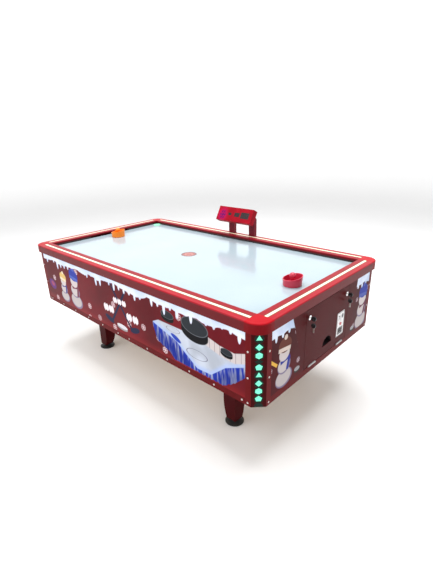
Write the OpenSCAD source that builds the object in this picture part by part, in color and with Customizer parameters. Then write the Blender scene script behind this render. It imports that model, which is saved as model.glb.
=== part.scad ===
// Coin operated air hockey table: a blown playfield on a cabinet with four legs.
// Origin on the floor under the middle of the table. X runs along the length, with
// the service door at +X, Y runs across it, with the scoreboard at +Y, and Z is up.

/* [Table] */
// Length over the rails
table_l = 2150; // [2100:10:2200]
// Width over the rails
table_w = 1204; // [1184:4:1224]
// Height of the rail tops above the floor
rail_top = 860; // [840:5:880]
// Depth of the playfield below the rail tops
field_drop = 28; // [26:1:30]

/* [Rails] */
// Width of each rail
rail_w = 94; // [90:1:98]
// Height of the rail skirt
rail_h = 53; // [52:1:56]
// Radius of the long rail edges
edge_r = 6; // [3:1:8]
// Plan radius of the corner caps
cap_r = 70; // [50:5:80]
// Width of the light channel in each rail
light_w = 18; // [14:1:22]
// Width of the goal mouth
goal_w = 362; // [340:2:370]

/* [Cabinet] */
// How far the rails stand out past the cabinet
overhang = 12; // [10:1:14]
// Height of the cabinet below the rails
cabinet_h = 387; // [380:1:390]
// Height of the bottom frame tubes
base_h = 36; // [34:1:38]
// Depth of the bottom frame tubes
base_d = 40; // [36:1:44]
// Setback of each chamfered corner
chamfer = 50; // [48:1:52]
// Width of a corner column's flanges
flange_w = 34; // [30:1:36]
// Thickness of the boards
board_t = 12; // [12:1:14]
// Thickness of the steel and printed sheets
sheet_t = 3; // [2.5:0.5:3]

/* [Legs] */
// Distance of each leg from the middle, along the table
leg_x = 678; // [660:1:700]
// Distance of each leg from the middle, across the table
leg_y = 321; // [300:1:340]
// Width of a leg at its top
leg_w = 88; // [80:1:96]
// Width of a leg at its bottom
leg_tip = 66; // [60:1:70]
// Radius of a levelling foot
foot_r = 56; // [50:1:60]

/* [Service door] */
// Width of the service door
door_w = 456; // [450:2:460]
// Height of the service door
door_h = 334; // [330:1:336]
// Offset of the door's middle from the table's middle
door_y = 10; // [8:1:12]
// How far the keys stand out past the rails
key_reach = 24; // [22:1:26]

/* [Scoreboard] */
// Width of the scoreboard
score_w = 334; // [320:2:350]
// Height of the scoreboard's face
score_h = 110; // [100:1:120]
// Depth of the scoreboard
score_d = 45; // [42:1:50]
// Backward tilt of the scoreboard's face
score_tilt = 30; // [25:1:32]

/* [Loose pieces] */
// Diameter of a mallet's base
mallet_d = 102; // [96:1:106]
// Diameter of the puck
puck_d = 63; // [60:1:66]

/* [Hidden] */
$fn = 64;
cut = 1;
half_l = table_l / 2;
half_w = table_w / 2;
field_l = half_l - rail_w;
field_w = half_w - rail_w;
field_z = rail_top - field_drop;
field_t = 12;
cab_l = half_l - overhang;
cab_w = half_w - overhang;
cab_top = rail_top - rail_h;
cab_bot = cab_top - cabinet_h;
base_top = cab_bot + base_h;
print_l = cab_l - chamfer - flange_w;
print_w = cab_w - chamfer - flange_w;
floor_t = 18;
floor_z = cab_bot + floor_t;
// Playfield edges, goals and lights
cushion_h = 12;
cushion_t = 8;
light_h = 7;
goal_top = rail_top - 14;
goal_d = 64;
wall_t = 20;
plenum_h = 60;
plenum_z = field_z - field_t - plenum_h;
beam = 40;
// Corner columns
glyph_n = 8;
glyph_pitch = 42;
glyph_gap = 18;
glyph_r = 18;
glyph_top = cab_top - 30;
lamp_w = 50;
lamp_t = 6;
post = 40;
// Goal chutes and outlets
chute_t = 2;
chute_d = 62;
chute_neck = 120;
chute_neck_z = 640;
chute_bot = 596;
outlet_y = 15;
outlet_r = 49;
outlet_z = 510;
cup_d = 82;
// Door, hinges and locks
door_z = base_top + 3;
door_gap = 2;
hinge_z = base_top + 1;
hinge_x = cab_l;
knuckle_r = 5;
knuckle_l = 24;
pin_r = 2.5;
run = 0.05;
hinge_off = 150;
leaf_t = 2;
lock_z = cab_top - 60;
lock_off = 200;
barrel_r = 9.5;
core_r = 6;
lock_head = 3;
barrel_l = 14;
cam_t = 2;
cam_l = 58;
key_x = half_l + key_reach;
bow_r = 12;
bow_x = key_x - bow_r;
bow_t = 7;
ring_hole = 3.5;
ring_r = 11.5;
wire_r = 1.2;
ring_z = -7.4;
// Coin acceptor
coin_y = 157;
coin_z = cab_top - 225;
coin_w = 80;
coin_h = 146;
plate_t = 3;
plate_lip = 9;
insert_d = 8;
slot_w = 6;
slot_lo = 22;
slot_hi = 56;
button_r = 9;
button_out = 6;
button_run = 0.1;
return_w = 48;
return_lo = -58;
return_hi = -26;
flap_l = 53;
flap_r = 2;
flap_t = 2;
flap_z = -30;
flap_gap = 0.5;
mech_d = 90;
mech_w = 60;
mech_lo = -64;
mech_hi = 60;
tray_d = 60;
cash_l = 140;
cash_w = 130;
cash_h = 58;
cash_in = 40;
cash_y = 100;
can_t = 1.5;
// Power box at the -X end
power_y = 260;
power_z = 520;
power_w = 150;
power_h = 86;
inlet_lo = -60;
inlet_hi = -10;
inlet_h = 48;
socket_in = 6;
pin_w = 2.4;
pin_h = 8;
rocker_off = 34;
rocker_w = 28;
rocker_h = 30;
rocker_in = 8;
rocker_pin = 2;
rocker_tip = 8;
// Control box
control_x = -700;
control_y = -300;
control_l = 220;
control_w = 160;
control_h = 80;
cable_r = 10;
// Blower under the plenum
fan_z = 590;
fan_r = 110;
fan_w = 90;
wheel_r = 84;
wheel_w = 64;
shaft_r = 8;
fan_mouth = 100;
fan_t = 3;
inlet_r = 60;
blade_n = 24;
blade_d = 16;
blade_t = 3;
rim_d = 18;
motor_r = 62;
motor_l = 120;
stand_w = 110;
stand_l = 60;
shaft_in = 50;
// Scoreboard
score_y = 459;
score_z = rail_top + 122;
post_x = 101;
post_w = 54;
post_d = 28;
post_y = half_w - 6;
// Loose pieces
red_x = 871;
red_y = -55;
orange_x = -850;
orange_y = -3;
puck_x = -930;
puck_y = 470;
puck_t = 6;
stem_r = 8;
rim_z = 46;
rim_tilt = 11;
leg_z = 28;
foot_in = (leg_w - leg_tip) / 2;
// Fine sizes of the fittings
rib_out = 600;
rib_in = 200;
rib_t = 18;
fan_lip = 4;
beam_out = 800;
beam_in = 300;
beam_wall = 3;
lap_gap = 4;
glyph_sides = [3, 4, 6, 5];
funnel_h = 30;
cup_lip = 8;
cup_under = 6;
cup_t = 3;
cup_step = 20;
notch_gap = 2;
coin_lap = 8;
leaf_w = 26;
leaf_top = 34;
lock_lip = 3;
nut_t = 4;
key_in = 7;
key_t = 2;
key_h = 8;
key_gap = 0.1;
cam_lip = 2;
key_out = 14;
neck_out = 9;
neck_h = 6;
spare_drop = 7.5;
hole_in = 5.8;
spare_l = 38;
leg_plate = 8;
bend_n = 8;
plate_out = 30;
stem_hole = 60;
foot_edge = 3;
foot_side = 7;
foot_slope = 12;
hub_r = 24;
hub_z = 18;
hub_top = 18;
foot_gap = 0.2;
stem_l = 40;
small_x = -46;
small_w = 30;
small_h = 20;
mid_x = 24;
mid_w = 50;
mid_h = 32;
wide_x = 100;
wide_w = 78;
wide_h = 48;
lens_lo = -62;
lens_hi = 142;
lens_in = 2;
lens_t = 4;
lens_up = 26;
post_knee = 128;
post_back = 30;
post_elbow = 170;
post_top = 206;
post_under = 140;
post_in = 96;
shaft_gap = 4;

function arc(cx, cy, r, a0, a1, n) =
  [for (i = [0 : n]) let (a = a0 + (a1 - a0) * i / n) [cx + r * cos(a), cy + r * sin(a)]];

module box(lo, hi) translate(lo) cube(hi - lo);
module both_x() for (a = [0, 180]) rotate([0, 0, a]) children();
module four() for (sx = [0, 1], sy = [0, 1]) mirror([sx, 0, 0]) mirror([0, sy, 0]) children();
// A rod along X from x0 to x1
module rod_x(x0, x1, r) translate([x0, 0, 0]) rotate([0, 90, 0]) cylinder(r = r, h = x1 - x0);
// A rod along Y from y0 to y1
module rod_y(y0, y1, r) translate([0, y0, 0]) rotate([-90, 0, 0]) cylinder(r = r, h = y1 - y0);

// ---- Rails ----
// Section of a rail: u outwards from the playfield, v up from the skirt's lower edge
module rail_section(lit = true) {
  field_v = field_z - cab_top;
  polygon(concat(
    [[0, 0], [rail_w, 0]],
    arc(rail_w - edge_r, rail_h - edge_r, edge_r, 0, 90, 6),
    lit ? [[(rail_w + light_w) / 2, rail_h], [(rail_w + light_w) / 2, rail_h - light_h],
      [(rail_w - light_w) / 2, rail_h - light_h], [(rail_w - light_w) / 2, rail_h]] : [],
    arc(edge_r / 2, rail_h - edge_r / 2, edge_r / 2, 90, 180, 4),
    [[0, field_v + cushion_h], [cushion_t, field_v + cushion_h], [cushion_t, field_v],
      [0, field_v]]));
}
module side_rail() color("firebrick")
  translate([-field_l, field_w, cab_top]) rotate([90, 0, 90])
    linear_extrude(2 * field_l) rail_section();
module end_rail() color("firebrick") difference() {
  translate([field_l, field_w, cab_top]) rotate([90, 0, 0])
    linear_extrude(2 * field_w) rail_section();
  box([field_l - 1, -goal_w / 2, cab_top - 1], [field_l + goal_d, goal_w / 2, goal_top]);
}
module side_rail_front() rotate([0, 0, 180]) side_rail();
module side_rail_back() side_rail();
module end_rail_left() rotate([0, 0, 180]) end_rail();
module end_rail_right() end_rail();
// A corner cap: two short straight ends and a quarter turn between them
module corner_cap() {
  straight = rail_w - cap_r;
  translate([field_l, field_w, cab_top]) {
    rotate([90, 0, 90]) linear_extrude(straight) cap_section(rail_w);
    translate([0, straight, 0]) rotate([90, 0, 0]) linear_extrude(straight)
      cap_section(rail_w);
    translate([straight, straight, 0]) rotate_extrude(angle = 90) cap_section(cap_r);
  }
}
module cap_section(w)
  polygon(concat([[0, 0], [w, 0]], arc(w - edge_r, rail_h - edge_r, edge_r, 0, 90, 6),
    [[0, rail_h]]));
module corner_caps() color("red") four() corner_cap();
module light_diffusers() color("ivory") {
  for (s = [-1, 1]) {
    translate([0, s * (field_w + rail_w / 2), rail_top - light_h / 2])
      cube([2 * field_l, light_w, light_h], center = true);
    translate([s * (field_l + rail_w / 2), 0, rail_top - light_h / 2])
      cube([light_w, 2 * field_w, light_h], center = true);
  }
}
module cushions() color([0.08, 0.07, 0.08]) {
  for (s = [0, 1]) mirror([0, s, 0])
    box([-field_l, field_w, field_z], [field_l, field_w + cushion_t, field_z + cushion_h]);
  four() box([field_l, goal_w / 2, field_z],
    [field_l + cushion_t, field_w, field_z + cushion_h]);
}

// ---- Playfield and plenum ----
module playfield() color([0.86, 0.92, 0.98])
  box([-field_l, -field_w, field_z - field_t], [field_l, field_w, field_z]);
module plenum_walls() color("burlywood") {
  for (s = [0, 1]) mirror([0, s, 0])
    box([-field_l, field_w - wall_t, plenum_z], [field_l, field_w, field_z - field_t]);
  for (s = [0, 1]) mirror([s, 0, 0])
    box([field_l - wall_t, -field_w + wall_t, plenum_z],
      [field_l, field_w - wall_t, field_z - field_t]);
}
module plenum_ribs() color("burlywood")
  for (x = [-rib_out, -rib_in, rib_in, rib_out]) translate([x, 0, plenum_z + plenum_h / 2])
    cube([rib_t, 2 * field_w - 4 * wall_t, plenum_h], center = true);
module plenum_floor() color("tan") difference() {
  box([-field_l, -field_w, plenum_z - board_t], [field_l, field_w, plenum_z]);
  translate([0, 0, plenum_z]) cube([fan_mouth, fan_w - 2 * fan_lip, 3 * board_t], center = true);
}
module cross_beams() color("dimgray")
  for (x = [-beam_out, -beam_in, beam_in, beam_out]) translate([x, 0, plenum_z - board_t - beam / 2])
    difference() {
      cube([beam, 2 * (cab_w - sheet_t - board_t), beam], center = true);
      cube([beam - 2 * beam_wall, 2 * cab_w, beam - 2 * beam_wall], center = true);
    }

// ---- Cabinet ----
module long_rails() for (s = [0, 1]) mirror([0, s, 0]) difference() {
  union() {
    box([-print_l, cab_w - base_d, cab_bot], [print_l, cab_w, base_top]);
    box([-print_l - flange_w + lap_gap, cab_w - base_d, cab_bot],
      [print_l + flange_w - lap_gap, cab_w - sheet_t, base_top]);
  }
  box([-half_l, cab_w - base_d + sheet_t, cab_bot + sheet_t],
    [half_l, cab_w - 2 * sheet_t, base_top - sheet_t]);
}
module end_tubes() for (s = [0, 1]) mirror([s, 0, 0]) difference() {
  union() {
    box([cab_l - base_d, -print_w, cab_bot], [cab_l, print_w, base_top]);
    box([cab_l - base_d, -print_w - flange_w + lap_gap, cab_bot],
      [cab_l - sheet_t, print_w + flange_w - lap_gap, base_top]);
  }
  box([cab_l - base_d + sheet_t, -half_w, cab_bot + sheet_t],
    [cab_l - 2 * sheet_t, half_w, base_top - sheet_t]);
  if (s == 0) hinge_notches();
}
module base_rails() color("maroon") {
  long_rails();
  end_tubes();
}
module corner_posts() color("dimgray") four() difference() {
  box([cab_l - base_d - post, cab_w - base_d - post, floor_z],
    [cab_l - base_d, cab_w - base_d, cab_top]);
  translate([sheet_t, sheet_t, 0])
    box([cab_l - base_d - post, cab_w - base_d - post, floor_z - 1],
      [cab_l - base_d - 2 * sheet_t, cab_w - base_d - 2 * sheet_t, cab_top + 1]);
}
module floor_board() color("tan")
  box([-cab_l + base_d, -cab_w + base_d, cab_bot], [cab_l - base_d, cab_w - base_d, floor_z]);
module side_boards() color("saddlebrown") for (s = [0, 1]) mirror([0, s, 0])
  box([-print_l - flange_w + lap_gap, cab_w - sheet_t - board_t, base_top],
    [print_l + flange_w - lap_gap, cab_w - sheet_t, cab_top]);
module print_sheet() color("darkred")
  box([-print_l, cab_w - sheet_t, base_top], [print_l, cab_w, cab_top]);
module print_front() mirror([0, 1, 0]) print_sheet();
module print_back() print_sheet();
module end_board() {
  box([cab_l - board_t, -print_w, base_top], [cab_l, print_w, cab_top]);
  box([cab_l - board_t, -print_w - flange_w + lap_gap, base_top],
    [cab_l - sheet_t, print_w + flange_w - lap_gap, cab_top]);
}
// Half round outlet seen along X, flat side down
module outlet_shape(r) intersection() {
  circle(r = r);
  translate([-r, 0]) square([2 * r, r]);
}
module outlet_hole(r, x0, x1)
  translate([x0, outlet_y, outlet_z]) rotate([90, 0, 90]) linear_extrude(x1 - x0)
    outlet_shape(r);
module end_panel_left() color("darkred") rotate([0, 0, 180]) difference() {
  end_board();
  outlet_hole(outlet_r, cab_l - 2 * board_t, cab_l + 1);
}
module end_panel_right() color("darkred") difference() {
  end_board();
  box([cab_l - 2 * board_t, door_y - door_w / 2 - door_gap, base_top - 1],
    [cab_l + 1, door_y + door_w / 2 + door_gap, door_z + door_h + door_gap]);
}
// Plan outline of a corner column
module column_plan() {
  k = sheet_t * (sqrt(2) - 1);
  polygon([[print_l, cab_w], [cab_l - chamfer, cab_w], [cab_l, cab_w - chamfer],
    [cab_l, print_w], [cab_l - sheet_t, print_w], [cab_l - sheet_t, cab_w - chamfer - k],
    [cab_l - chamfer - k, cab_w - sheet_t], [print_l, cab_w - sheet_t]]);
}
// Places a window or lamp on the chamfer, with its normal along local Z
module on_chamfer(z) translate([cab_l - chamfer / 2, cab_w - chamfer / 2, z])
  rotate([0, 0, 45]) rotate([90, 0, 90]) children();
// Window number i: a triangle, a diamond, a hexagon or a pentagon in turn
module glyph(i) rotate(90) circle(r = glyph_r, $fn = glyph_sides[i % len(glyph_sides)]);
function glyph_z(i) = glyph_top - glyph_pitch * i - (i > 2 ? glyph_gap : 0);
module corner_columns() color("darkred") four() difference() {
  translate([0, 0, cab_bot]) linear_extrude(cabinet_h) column_plan();
  for (i = [0 : glyph_n - 1]) on_chamfer(glyph_z(i))
    translate([0, 0, -3 * sheet_t]) linear_extrude(6 * sheet_t) glyph(i);
}
module column_lamps() color("aquamarine") four() {
  height = glyph_top - glyph_z(glyph_n - 1) + 2 * glyph_r;
  on_chamfer((glyph_top + glyph_z(glyph_n - 1)) / 2)
    translate([0, 0, -sheet_t - lamp_t / 2]) cube([lamp_w, height, lamp_t], center = true);
}

// ---- Goal chutes ----
// Funnel outline from the goal mouth down to the neck
module funnel(w, neck, top, bot) polygon([[-w / 2, top], [-w / 2, top - funnel_h],
  [outlet_y - neck / 2, chute_neck_z], [outlet_y - neck / 2, bot],
  [outlet_y + neck / 2, bot], [outlet_y + neck / 2, chute_neck_z], [w / 2, top - funnel_h],
  [w / 2, top]]);
module goal_chute() color("silver") difference() {
  translate([field_l, 0, 0]) rotate([90, 0, 90]) linear_extrude(chute_d)
    funnel(goal_w + 2 * chute_t, chute_neck, cab_top, chute_bot);
  translate([field_l + chute_t, 0, 0]) rotate([90, 0, 90])
    linear_extrude(chute_d - 2 * chute_t)
      funnel(goal_w, chute_neck - 2 * chute_t, cab_top + 1, chute_bot - 1);
}
module goal_chute_left() rotate([0, 0, 180]) goal_chute();
module goal_chute_right() goal_chute();
// Pocket behind the half round outlet, open to the front and to the top at its back
module outlet_cup() color([0.16, 0.15, 0.15]) difference() {
  back = cab_l - sheet_t - cup_d;
  box([back, outlet_y - outlet_r - cup_lip, outlet_z - cup_under],
    [cab_l - sheet_t, outlet_y + outlet_r + cup_lip, outlet_z + outlet_r + cut]);
  outlet_hole(outlet_r, back + cup_t, cab_l + cut);
  box([back + cup_t, outlet_y - outlet_r, outlet_z + cup_step],
    [cab_l - board_t - cup_lip, outlet_y + outlet_r, outlet_z + outlet_r + cup_lip + cut]);
}
module outlet_cup_left() rotate([0, 0, 180]) translate([-board_t + sheet_t, 0, 0])
  outlet_cup();
module outlet_cup_right() outlet_cup();

// ---- Service door ----
module hinge_notches() for (s = [-1, 1]) translate([hinge_x, door_y + s * hinge_off, hinge_z])
  rod_y(-1.5 * knuckle_l - cut, 1.5 * knuckle_l + cut, knuckle_r + notch_gap);
module service_door() color("darkred") difference() {
  lo = [cab_l - board_t + 2, door_y - door_w / 2, door_z];
  hi = [cab_l, door_y + door_w / 2, door_z + door_h];
  box(lo, hi);
  box(lo + [-1, 2, 2], hi - [sheet_t, 2, 2]);
  hinge_notches();
  outlet_hole(outlet_r, cab_l - sheet_t - 1, cab_l + 1);
  for (s = [-1, 1]) translate([0, door_y + s * lock_off, lock_z])
    rod_x(cab_l - 2 * board_t, cab_l + 1, barrel_r);
  translate([0, coin_y, coin_z]) cube([3 * cab_l, coin_w - 2 * coin_lap, coin_h - 2 * coin_lap], center = true);
}
module each_hinge() for (s = [-1, 1]) translate([hinge_x, door_y + s * hinge_off, hinge_z])
  children();
module hinge_frame_leaves() color("gray") each_hinge() {
  for (s = [-1, 1]) translate([0, s * knuckle_l, 0]) {
    rod_y(-knuckle_l / 2, knuckle_l / 2, knuckle_r);
    box([-leaf_w, -knuckle_l / 2, -leaf_t / 2], [0, knuckle_l / 2, leaf_t / 2]);
  }
  rod_y(-1.5 * knuckle_l, 1.5 * knuckle_l, pin_r);
}
module hinge_door_leaves() color("gray") each_hinge() difference() {
  union() {
    rod_y(-knuckle_l / 2 + 0.2, knuckle_l / 2 - 0.2, knuckle_r);
    box([-knuckle_r, -knuckle_l / 2 + 0.2, 0], [-sheet_t, knuckle_l / 2 - 0.2, knuckle_r]);
    box([-knuckle_r, -knuckle_l, knuckle_r + cut], [-sheet_t, knuckle_l, leaf_top]);
    box([-knuckle_r, -knuckle_l / 2 + 0.2, knuckle_r],
      [-sheet_t, knuckle_l / 2 - 0.2, knuckle_r + 2]);
  }
  rod_y(-knuckle_l, knuckle_l, pin_r + run);
}
module lock_barrels() color("silver") for (s = [-1, 1])
  translate([0, door_y + s * lock_off, lock_z]) difference() {
    union() {
      rod_x(cab_l, cab_l + lock_head, barrel_r + lock_lip);
      rod_x(cab_l - barrel_l, cab_l, barrel_r);
      rod_x(cab_l - sheet_t - nut_t, cab_l - sheet_t, barrel_r + nut_t, $fn = 6);
    }
    rod_x(cab_l - 2 * barrel_l, cab_l + 2 * lock_head, core_r + run);
  }
// Lock plug with its slot and the cam behind it; the cam points along side * Y
module lock_core(side) color("silver") translate([0, door_y - side * lock_off, lock_z]) {
  difference() {
    rod_x(cab_l - barrel_l, cab_l + lock_head, core_r);
    box([cab_l - key_in - cut, -key_t / 2 - key_gap, -key_h / 2 - key_gap],
      [cab_l + lock_head + cut, key_t / 2 + key_gap, key_h / 2 + key_gap]);
  }
  translate([cab_l - barrel_l - cam_t, 0, 0]) rotate([90, 0, 90]) linear_extrude(cam_t) {
    circle(r = core_r + 2);
    translate([side > 0 ? 0 : -cam_l, -core_r - cam_lip]) square([cam_l, 2 * (core_r + cam_lip)]);
  }
}
module lock_core_left() lock_core(1);
module lock_core_right() lock_core(-1);
// Key in its lock; the bow has a hole for the ring
module key(side) translate([0, door_y - side * lock_off, lock_z]) {
  color("silver") box([cab_l - key_in, -key_t / 2, -key_h / 2],
    [cab_l + key_out, key_t / 2, key_h / 2]);
  color([0.05, 0.05, 0.05]) translate([0, bow_t / 2, 0]) rotate([90, 0, 0])
    linear_extrude(bow_t) difference() {
      union() {
        translate([bow_x, 0]) circle(r = bow_r);
        translate([cab_l + neck_out, -neck_h]) square([bow_x - cab_l - neck_out, 2 * neck_h]);
      }
      translate([bow_x, -neck_h]) circle(r = ring_hole);
    }
}
module key_left() key(1);
module key_right() key(-1);
// Ring through the key's bow with a spare key hanging from it
module spare_key(side) translate([bow_x, door_y - side * lock_off, lock_z + ring_z]) {
  color("silver") translate([0, 0, -ring_r]) rotate([0, 90, 0]) rotate_extrude()
    translate([ring_r, 0]) circle(r = wire_r);
  spare_z = -2 * ring_r - spare_drop;
  color([0.05, 0.05, 0.05]) translate([0, bow_t / 2, spare_z]) rotate([90, 0, 0])
    linear_extrude(bow_t) difference() {
      circle(r = bow_r);
      translate([0, bow_r - hole_in]) circle(r = ring_hole);
    }
  color("silver") box([-key_h / 2, -key_t / 2, spare_z - spare_l],
    [key_h / 2, key_t / 2, spare_z - bow_r + key_t]);
}
module spare_key_left() spare_key(1);
module spare_key_right() spare_key(-1);

// ---- Coin acceptor ----
module coin_plate() color("gainsboro") translate([cab_l, coin_y, coin_z]) difference() {
  union() {
    box([0, -coin_w / 2, -coin_h / 2], [plate_t, coin_w / 2, coin_h / 2]);
    box([-insert_d, plate_lip - coin_w / 2, plate_lip - coin_h / 2],
      [0, coin_w / 2 - plate_lip, coin_h / 2 - plate_lip]);
  }
  box([-insert_d - cut, -slot_w / 2, slot_lo], [plate_t + cut, slot_w / 2, slot_hi]);
  rod_x(-insert_d - cut, plate_t + cut, button_r + button_run);
  box([-insert_d - cut, -return_w / 2, return_lo], [plate_t + cut, return_w / 2, return_hi]);
  translate([-insert_d / 2, 0, flap_z])
    rod_y(-flap_l / 2 - flap_gap, flap_l / 2 + flap_gap, flap_r + run);
}
module reject_button() color("crimson") translate([cab_l, coin_y, coin_z])
  rod_x(-insert_d, button_out, button_r);
module return_flap() color("dimgray") translate([cab_l - insert_d / 2, coin_y, coin_z]) {
  translate([0, 0, flap_z]) rod_y(-flap_l / 2, flap_l / 2, flap_r);
  box([-flap_t / 2, flap_gap - return_w / 2, return_lo + 1],
    [flap_t / 2, return_w / 2 - flap_gap, flap_z]);
}
// Behind the plate: the slot's run, the button's room and the tray for returned coins
module coin_mech() color("slategray") translate([cab_l, coin_y, coin_z]) difference() {
  box([-mech_d, -mech_w / 2, mech_lo], [-insert_d, mech_w / 2, mech_hi]);
  box([-tray_d, -return_w / 2 - flap_gap, return_lo - 2],
    [-insert_d + cut, return_w / 2 + flap_gap, return_hi + 2]);
  rod_x(-insert_d - 2 * button_out, -insert_d + cut, button_r + 1);
  box([-mech_d / 2, -slot_w / 2, slot_lo], [-insert_d + cut, slot_w / 2, slot_hi]);
}
// Open topped where coins fall in
module cash_box() color("gray") difference() {
  lo = [cab_l - cash_in - cash_l, cash_y, floor_z];
  hi = lo + [cash_l, cash_w, cash_h];
  wall = [can_t, can_t, can_t];
  box(lo, hi);
  box(lo + wall, hi - wall);
  translate([(lo[0] + hi[0]) / 2, coin_y, hi[2]])
    cube([cash_l - 2 * cash_in, return_w, 4 * can_t], center = true);
}

// ---- Legs and feet ----
// Side view of a leg: a straight outer edge and an inner edge that curves in at the foot
module leg_outline() {
  bend = 120;
  inner = leg_w - leg_tip;
  polygon(concat([[leg_w / 2, leg_z], [leg_w / 2, cab_bot - leg_plate],
    [-leg_w / 2, cab_bot - leg_plate]],
    [for (i = [0 : bend_n]) let (t = i / bend_n)
      [-leg_w / 2 + inner * t * t, leg_z + bend * (1 - t)]]));
}
module leg() difference() {
  union() {
    intersection() {
      rotate([90, 0, 0]) linear_extrude(2 * leg_w, center = true) leg_outline();
      rotate([90, 0, 90]) linear_extrude(2 * leg_w, center = true) leg_outline();
    }
    translate([0, 0, cab_bot - leg_plate / 2])
      cube([leg_w + 2 * plate_out, leg_w + 2 * plate_out, leg_plate], center = true);
  }
  foot_place() cylinder(r = stem_r + run, h = leg_z + stem_hole);
}
module foot_place() translate([foot_in, foot_in, 0]) children();
module legs() color([0.35, 0.04, 0.06]) four() translate([leg_x, leg_y, 0]) leg();
module foot() color([0.06, 0.06, 0.06]) foot_place() {
  rotate_extrude() polygon([[0, 0], [foot_r - foot_edge, 0], [foot_r, foot_edge],
    [foot_r, foot_side], [foot_r - foot_slope, foot_slope], [hub_r, hub_z],
    [hub_top, leg_z - foot_gap], [0, leg_z - foot_gap]]);
  cylinder(r = stem_r, h = leg_z + stem_l);
}
module foot_at(sx, sy) mirror([sx, 0, 0]) mirror([0, sy, 0])
  translate([leg_x, leg_y, 0]) foot();
module foot_front_left() foot_at(1, 1);
module foot_front_right() foot_at(0, 1);
module foot_back_left() foot_at(1, 0);
module foot_back_right() foot_at(0, 0);

// ---- Scoreboard ----
module on_score() translate([0, score_y, score_z]) rotate([-score_tilt, 0, 0]) children();
module window(x, w, h, d) translate([x, 0, score_h / 2]) cube([w, d, h], center = true);
module score_windows(d, slack) {
  window(small_x, small_w - slack, small_h - slack, d);
  window(mid_x, mid_w - slack, mid_h - slack, d);
  window(wide_x, wide_w - slack, wide_h - slack, d);
}
module score_housing() color("crimson") on_score() difference() {
  box([-score_w / 2, 0, 0], [score_w / 2, score_d, score_h]);
  box([-score_w / 2 + 2, 2, 2], [score_w / 2 - 2, score_d - 2, score_h - 2]);
  score_windows(20, 0);
}
module score_displays() color([0.1, 0.02, 0.03]) on_score() {
  translate([0, 1, 0]) score_windows(2, 0.2);
  box([lens_lo, lens_in, score_h / 2 - lens_up], [lens_hi, lens_in + lens_t, score_h / 2 + lens_up]);
}
module score_posts() color("brown") for (s = [-1, 1]) translate([s * post_x, 0, 0])
  difference() {
    rotate([90, 0, 90]) linear_extrude(post_w, center = true) polygon([
      [post_y - post_d, rail_top], [post_y, rail_top], [post_y, rail_top + post_knee],
      [post_y - post_back, rail_top + post_elbow], [score_y, rail_top + post_top],
      [score_y, rail_top + post_under], [post_y - post_d, rail_top + post_in]]);
    on_score() box([-score_w, -score_d, -score_h], [score_w, score_d, 2 * score_h]);
  }

// ---- Blower ----
module volute(r, x1) {
  circle(r = r);
  translate([-x1, 0]) square([2 * x1, plenum_z - board_t - fan_z]);
}
module blower_housing() color("dimgray") translate([0, 0, fan_z]) rotate([90, 0, 0])
  difference() {
    linear_extrude(fan_w, center = true) volute(fan_r, fan_mouth / 2 + fan_t);
    linear_extrude(fan_w - 2 * fan_t, center = true) {
      circle(r = fan_r - fan_t);
      translate([-fan_mouth / 2, 0]) square([fan_mouth, fan_r * 2]);
    }
    translate([0, 0, fan_w / 4]) cylinder(r = inlet_r, h = fan_w);
    translate([0, 0, -fan_w]) cylinder(r = shaft_r + shaft_gap, h = fan_w);
  }
module blower_wheel() color("silver") translate([0, 0, fan_z]) rotate([90, 0, 0]) {
  translate([0, 0, -wheel_w / 2]) cylinder(r = wheel_r, h = fan_t);
  translate([0, 0, -wheel_w / 2]) cylinder(r = rim_d, h = wheel_w / 2 - 2);
  for (i = [0 : blade_n - 1]) rotate([0, 0, 360 * i / blade_n])
    translate([wheel_r - rim_d, -blade_t / 2, -wheel_w / 2]) cube([blade_d, blade_t, wheel_w]);
  translate([0, 0, wheel_w / 2 - fan_t]) difference() {
    cylinder(r = wheel_r, h = fan_t);
    translate([0, 0, -cut]) cylinder(r = wheel_r - rim_d, h = fan_t + 2 * cut);
  }
  translate([0, 0, -fan_w / 2 - shaft_in]) cylinder(r = shaft_r, h = shaft_in + rim_d);
}
module blower_motor() color("darkslategray") translate([0, 0, fan_z]) rotate([90, 0, 0])
  difference() {
    union() {
      translate([0, 0, -fan_w / 2 - motor_l]) cylinder(r = motor_r, h = motor_l);
      translate([0, (floor_z - fan_z) / 2, -fan_w / 2 - stand_l])
        cube([stand_w, fan_z - floor_z, stand_l], center = true);
    }
    translate([0, 0, -fan_w / 2 - shaft_in - 10]) cylinder(r = shaft_r + run, h = stand_l + 20);
  }

// ---- Electrics ----
module control_box() color("gray") translate([control_x, control_y, floor_z]) difference() {
  size = [control_l, control_w, control_h];
  wall = [can_t, can_t, can_t];
  box([0, 0, 0], size);
  box(wall, size - wall);
  translate([0, control_w / 2, control_h / 2]) rod_x(control_l - 2 * can_t, control_l + cut,
    cable_r);
}
module power_box() color([0.12, 0.12, 0.12]) mirror([1, 0, 0])
  translate([0, power_y, power_z]) difference() {
    box([cab_l, -power_w / 2, -power_h / 2], [key_x, power_w / 2, power_h / 2]);
    box([cab_l + 2, inlet_lo, -inlet_h / 2], [key_x + cut, inlet_hi, inlet_h / 2]);
    box([key_x - 2 * rocker_in, rocker_off - rocker_w / 2, -rocker_h / 2],
      [key_x + cut, rocker_off + rocker_w / 2, rocker_h / 2]);
    translate([key_x - rocker_in, rocker_off, 0])
      rod_y(-rocker_w / 2 - 3, rocker_w / 2 + 3, rocker_pin + run);
  }
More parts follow.
